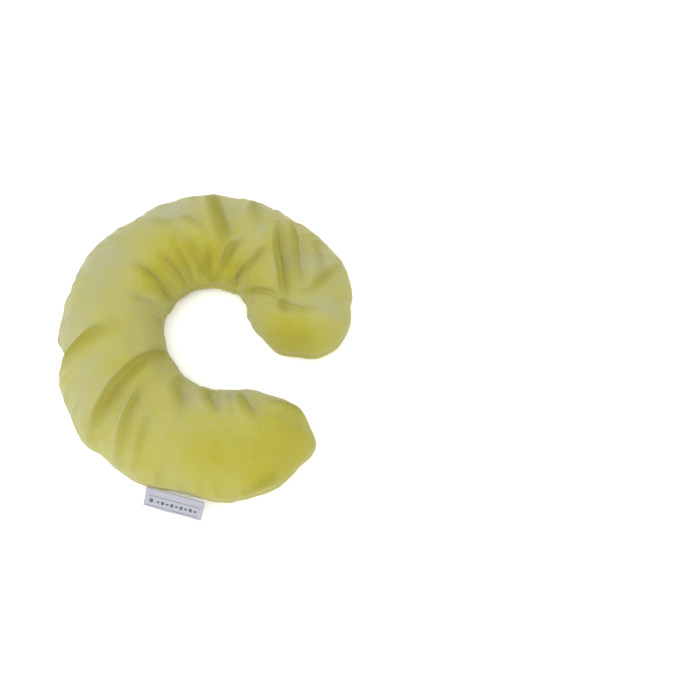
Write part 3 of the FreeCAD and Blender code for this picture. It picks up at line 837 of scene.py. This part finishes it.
def make_label():
    """The ribbon's two plies with a rounded fold at the bottom, and its woven motif."""
    middle = (LABEL_GAP + LABEL_PLY) / 2.0
    bend = [math.radians(a) for a in range(0, 181, 20)]
    straight = LABEL_DROP + LABEL_TUCK - middle
    rows_down = 14
    run = [(-LABEL_TUCK + straight * k / rows_down, middle) for k in range(rows_down)]
    path = run + [(LABEL_DROP - middle + middle * math.sin(a), middle * math.cos(a)) for a in bend]
    path += [(y, -lift) for y, lift in reversed(run)]
    steps = 72
    points, places, faces = [], [], []
    for side in (1.0, -1.0):
        for k, (y, lift) in enumerate(path):
            ahead = path[min(k + 1, len(path) - 1)]
            behind = path[max(k - 1, 0)]
            run_y, run_lift = ahead[0] - behind[0], ahead[1] - behind[1]
            length = math.hypot(run_y, run_lift)
            y += -run_lift / length * side * LABEL_PLY / 2.0
            lift += run_y / length * side * LABEL_PLY / 2.0
            for i in range(steps + 1):
                x = LABEL_LENGTH * (i / steps - 0.5)
                points.append(on_label(x, y, lift))
                places.append((x, y, lift))
    rows = len(path)
    wide = steps + 1

    def at(layer, k, i):
        return (layer * rows + k) * wide + i

    for k in range(rows - 1):
        for i in range(steps):
            faces.append((at(0, k, i), at(0, k, i + 1), at(0, k + 1, i + 1), at(0, k + 1, i)))
            faces.append((at(1, k, i), at(1, k + 1, i), at(1, k + 1, i + 1), at(1, k, i + 1)))
        for i, flip in ((0, True), (steps, False)):
            edge = (at(0, k, i), at(0, k + 1, i), at(1, k + 1, i), at(1, k, i))
            faces.append(edge if not flip else edge[::-1])
    for k, flip in ((0, False), (rows - 1, True)):
        for i in range(steps):
            edge = (at(0, k, i), at(1, k, i), at(1, k, i + 1), at(0, k, i + 1))
            faces.append(edge if not flip else edge[::-1])
    label = mesh_object("side_label_ribbon", points, faces, label_material())
    store_layout(label, places)
    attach(label, "label")
    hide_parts("side_label")
    motif = make_motif(middle + LABEL_PLY / 2.0)
    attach(motif, "label")


def make_motif(surface):
    """A round dot and a row of plain bars in raised thread, with a fine line along each edge."""
    marks = [(21.0, 6.8, 1.9, 1.9)]
    marks += [(14.5 - 4.4 * k, 6.8, 1.35, 1.5 if k % 2 else 0.75) for k in range(9)]
    marks += [(0.0, 2.3, 25.5, 0.16), (0.0, 11.2, 25.5, 0.16)]
    points, places, faces = [], [], []
    around = 28
    for x, y, half_x, half_y in marks:
        first = len(points)
        round_mark = abs(half_x - half_y) < 0.01
        for lift, shrink in ((0.0, 1.0), (0.14, 0.94), (0.2, 0.7)):
            for k in range(around):
                a = 2.0 * math.pi * k / around
                power = 1.0 if round_mark else 0.35
                cos, sin = math.cos(a), math.sin(a)
                u = x + half_x * shrink * math.copysign(abs(cos) ** power, cos)
                v = y + half_y * shrink * math.copysign(abs(sin) ** power, sin)
                points.append(on_label(u, v, surface + lift))
                places.append((u, v, lift))
        for ring in range(2):
            for k in range(around):
                n = (k + 1) % around
                a, b = first + ring * around, first + (ring + 1) * around
                faces.append((a + k, a + n, b + n, b + k))
        faces.append(tuple(first + 2 * around + k for k in range(around)))
    motif = mesh_object("side_label_motif", points, faces, thread_material())
    store_layout(motif, places)
    return motif


make_label()


# --- zip ------------------------------------------------------------------------------------

# half length, half height and corner of a slider plate, the pull's tab and its eye; how much a
# plate and the tab narrow; and where the tab, its eye and its grip ribs are
SLIDER_PLATE = (4.5, 3.8, 1.3)
SLIDER_TAPER = 0.14
PULL_TAB = (10.5, 2.8, 1.2)
PULL_TAPER = 0.16
PULL_MIDDLE = 10.0
PULL_BACK = 4.0
PULL_FRONT = 5.0
PULL_EYE = (2.0, 1.8, 0.8)
PULL_EYE_MIDDLE = 2.55
GRIP_RIBS = 5
GRIP_START = 10.5
GRIP_PITCH = 1.5


def tube(name, path, radius, material, around, tall=1.0):
    """A closed tube along points in metres, with its radius in mm; tall stretches it upright."""
    path = np.asarray(path, float)
    along = np.gradient(path, axis=0)
    along /= np.linalg.norm(along, axis=1, keepdims=True)
    up = np.tile((0.0, 0.0, 1.0), (len(path), 1))
    out = np.cross(along, up)
    out /= np.linalg.norm(out, axis=1, keepdims=True)
    up = np.cross(out, along)
    points, faces = [], []
    for k in range(around):
        a = 2.0 * math.pi * k / around
        points.append(path + (out * math.cos(a) + up * math.sin(a) * tall) * radius * MM)
    points = np.stack(points, 1).reshape(-1, 3)
    for i in range(len(path) - 1):
        for k in range(around):
            n = (k + 1) % around
            faces.append((i * around + k, i * around + n, (i + 1) * around + n, (i + 1) * around + k))
    last = (len(path) - 1) * around
    faces.append(tuple(range(around))[::-1])
    faces.append(tuple(last + k for k in range(around)))
    made = mesh_object(name, points, faces, material)
    store_layout(made, points / MM)
    return made


def on_zip(theta, out, z):
    """A point by the zip in metres: degrees from the back, mm out from its coils, height."""
    return np.array([*polar(theta, ZIP_R + out), z]) * MM


def make_coil(name, z, spin, material):
    """One nylon coil, wound along the zip between its stops."""
    turns = 98
    steps = 12
    half = ZIP_HALF_ARC - 1.2
    path = []
    for k in range(turns * steps + 1):
        a = 2.0 * math.pi * k / steps * spin
        theta = half - 2.0 * half * k / (turns * steps)
        path.append(on_zip(theta, COIL_WIND * math.cos(a), z + COIL_WIND * math.sin(a)))
    return tube(name, path, 0.25, material, 6)


def make_tape(name, near, far, far_out, material):
    """One woven tape, from its coil to under the edge of the cover."""
    across = [(near, 0.0), (near + (far - near) * 0.4, 0.15), (far, far_out)]
    steps = 150
    points, faces = [], []
    for thickness in (0.25, -0.25):
        for z, out in across:
            for i in range(steps + 1):
                theta = (ZIP_HALF_ARC - 0.1) * (1.0 - 2.0 * i / steps)
                ripple = 0.12 * math.sin(i * 0.9) * abs(z - near) / abs(far - near)
                points.append(on_zip(theta, out + thickness + ripple, z))
    wide, rows = steps + 1, len(across)

    def at(layer, row, i):
        return (layer * rows + row) * wide + i

    for i in range(steps):
        for row in range(rows - 1):
            faces.append((at(0, row, i), at(0, row, i + 1), at(0, row + 1, i + 1), at(0, row + 1, i)))
            faces.append((at(1, row, i), at(1, row + 1, i), at(1, row + 1, i + 1), at(1, row, i + 1)))
        for row in (0, rows - 1):
            faces.append((at(0, row, i), at(1, row, i), at(1, row, i + 1), at(0, row, i + 1)))
    for i in (0, steps):
        for row in range(rows - 1):
            faces.append((at(0, row, i), at(0, row + 1, i), at(1, row + 1, i), at(1, row, i)))
    return mesh_object(name, points, faces, material)


def rounded(half_long, half_tall, corner, at=0.0):
    """A rounded rectangle's outline as (along, up) points, with its middle at the given place."""
    outline = []
    around = 40
    for k in range(around):
        a = 2.0 * math.pi * (k + 0.5) / around
        cos, sin = math.cos(a), math.sin(a)
        u = math.copysign(half_long - corner, cos) + corner * cos
        v = math.copysign(half_tall - corner, sin) + corner * sin
        outline.append((at + u, v))
    return outline


def shrunk(outline, by, centre):
    """An outline drawn in towards its centre by about a distance (or out, if it is negative)."""
    moved = []
    for u, v in outline:
        du, dv = u - centre, v
        length = math.hypot(du, dv)
        moved.append((centre + du * (1.0 - by / length), dv * (1.0 - by / length)))
    return moved


def slab(points, faces, outline, centre, low, high, bevel, hole=None):
    """Adds a plate with softened edges to a mesh, in (out, along, up), with or without a hole."""
    rings = [
        (shrunk(outline, bevel, centre), low),
        (outline, low + bevel),
        (outline, high - bevel),
        (shrunk(outline, bevel, centre), high),
    ]
    if hole:
        middle = sum(u for u, _ in hole) / len(hole)
        rings += [
            (shrunk(hole, -bevel, middle), high),
            (hole, high - bevel),
            (hole, low + bevel),
            (shrunk(hole, -bevel, middle), low),
        ]
    first = len(points)
    around = len(outline)
    for ring, out in rings:
        points += [(out, u, v) for u, v in ring]
    closing = len(rings) if hole else len(rings) - 1
    for k in range(closing):
        a, b = first + k * around, first + (k + 1) % len(rings) * around
        faces += [(a + i, a + (i + 1) % around, b + (i + 1) % around, b + i) for i in range(around)]
    if not hole:
        faces.append(tuple(first + i for i in range(around))[::-1])
        faces.append(tuple(first + 3 * around + i for i in range(around)))


def at_slider(points):
    """Local (out from the zip's middle, along it, up) points in mm, in the row frame in metres."""
    radial = polar(SLIDER_THETA, 1.0)
    tangent = polar(SLIDER_THETA + 90.0, 1.0)
    placed = []
    for out, along, up in points:
        flat = radial * (ZIP_R + out) + tangent * along
        placed.append((flat[0] * MM, flat[1] * MM, (ZIP_Z + up) * MM))
    return placed


def make_slider(material):
    """Two tapered plates on a web, with an arched bridge on the front."""
    points, faces = [], []
    half_long = SLIDER_PLATE[0]
    for low, high in ((-2.2, -1.2), (1.2, 2.2)):
        plate = [
            (u, v * (1.0 - SLIDER_TAPER * (u / half_long + 1.0) / 2.0)) for u, v in rounded(*SLIDER_PLATE)
        ]
        slab(points, faces, plate, 0.0, low, high, 0.25)
    slab(points, faces, rounded(2.6, 0.26, 0.2), 0.0, -1.3, 1.3, 0.05)
    body = mesh_object("zip_slider_plates", at_slider(points), faces, material)
    arch = []
    for k in range(25):
        a = math.pi * k / 24
        arch.append((2.0 + 3.9 * math.sin(a) ** 0.6, -2.5 * math.cos(a), 0.0))
    bridge = tube("zip_slider_bridge", at_slider(arch), 0.5, material, 10, 1.6)
    return [body, bridge]


def make_pull(material):
    """A flat tab that narrows, with an eye at one end and grip ribs towards the other."""
    points, faces = [], []
    tab = [
        (u, v * (1.0 - PULL_TAPER * ease((u - 4.0) / 12.0))) for u, v in rounded(*PULL_TAB, PULL_MIDDLE)
    ]
    eye = rounded(*PULL_EYE, PULL_EYE_MIDDLE)
    slab(points, faces, tab, PULL_MIDDLE, PULL_BACK, PULL_FRONT, 0.22, eye)
    for k in range(GRIP_RIBS):
        at = GRIP_START + GRIP_PITCH * k
        slab(points, faces, rounded(0.35, 1.5, 0.3, at), at, PULL_FRONT - 0.1, PULL_FRONT + 0.22, 0.1)
    return mesh_object("zip_pull_tab", at_slider(points), faces, material)


def make_stops(material):
    """The two crimped end stops, each with the name of its CAD node."""
    made = []
    for name, theta in (("zip_bottom_stop", -ZIP_HALF_ARC + 0.5), ("zip_top_stop", ZIP_HALF_ARC - 0.5)):
        middle = on_zip(theta, 0.0, ZIP_Z)
        radial, tangent = polar(theta, 1.0), polar(theta + 90.0, 1.0)
        points, faces = [], []
        slab(points, faces, rounded(1.2, 1.95, 0.5), 0.0, -0.8, 0.95, 0.25)
        placed = []
        for out, along, up in points:
            flat = middle[:2] + (radial * out + tangent * along) * MM
            placed.append((flat[0], flat[1], middle[2] + up * MM))
        made.append((mesh_object(f"{name}_crimp", placed, faces, material), name))
    return made


def make_zip(panel):
    tape, nylon, enamel = tape_material(), nylon_material(), enamel_material()
    for name, side in (("upper", 1.0), ("lower", -1.0)):
        z = ZIP_Z + side * COIL_FROM_MIDDLE
        coil = make_coil(f"zip_coil_{name}_wire", z, side, nylon)
        far_out = 0.6 if side > 0 else -0.4
        woven = make_tape(f"zip_tape_{name}_weave", z + side * 0.5, ZIP_Z + side * 5.6, far_out, tape)
        welt = tube(
            f"zip_welt_{name}", panel.edge_line(ZIP_Z + side * ZIP_HALF_HEIGHT, 2), 1.15, PLUSH, 10
        )
        for piece, slot in ((coil, "zip_nylon"), (woven, "zip_tape"), (welt, "plush_velour")):
            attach(piece, "back")
        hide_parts(f"zip_coil_{name}")
        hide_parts(f"zip_tape_{name}")
    for crimp, node in make_stops(enamel):
        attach(crimp, "back")
        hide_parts(node)
    for piece in make_slider(enamel):
        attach(piece, "slider")
        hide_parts("zip_slider")
    pull = make_pull(enamel)
    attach(pull, "pull")
    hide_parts("zip_pull")


make_zip(PANELS["bottom"])


# --- floor and light ------------------------------------------------------------------------


def make_floor():
    half = 6.0
    mesh = bpy.data.meshes.new("floor")
    corners = [(-half, -half, 0.0), (half, -half, 0.0), (half, half, 0.0), (-half, half, 0.0)]
    mesh.from_pydata(corners, [], [(0, 1, 2, 3)])
    floor = bpy.data.objects.new("floor", mesh)
    floor.location.z = -0.4 * MM
    bpy.context.scene.collection.objects.link(floor)
    material = bpy.data.materials.new("floor_white")
    material.use_nodes = True
    bsdf = material.node_tree.nodes["Principled BSDF"]
    bsdf.inputs["Base Color"].default_value = (0.97, 0.97, 0.97, 1.0)
    bsdf.inputs["Roughness"].default_value = 0.9
    bsdf.inputs["Emission Color"].default_value = (1.0, 1.0, 1.0, 1.0)
    bsdf.inputs["Emission Strength"].default_value = 0.12
    mesh.materials.append(material)


def area_light(name, place, size, power):
    data = bpy.data.lights.new(name, "AREA")
    data.size = size
    data.energy = power
    light = bpy.data.objects.new(name, data)
    light.location = Vector(place)
    light.rotation_euler = (Vector((0.0, 0.0, 0.0)) - light.location).to_track_quat("-Z", "Y").to_euler()
    bpy.context.scene.collection.objects.link(light)


def make_light():
    """A white sky, a wide soft light from the picture's left and a weaker one from near the camera."""
    world = bpy.data.worlds.new("sky")
    world.use_nodes = True
    background = world.node_tree.nodes["Background"]
    background.inputs["Color"].default_value = (1.0, 1.0, 1.0, 1.0)
    background.inputs["Strength"].default_value = 1.08
    bpy.context.scene.world = world
    area_light("key", (-0.85, 0.55, 1.15), 1.1, 8.5)
    area_light("fill", (-0.45, -0.55, 1.2), 1.0, 6.5)
    bpy.context.scene.view_settings.view_transform = "Standard"


make_floor()
make_light()
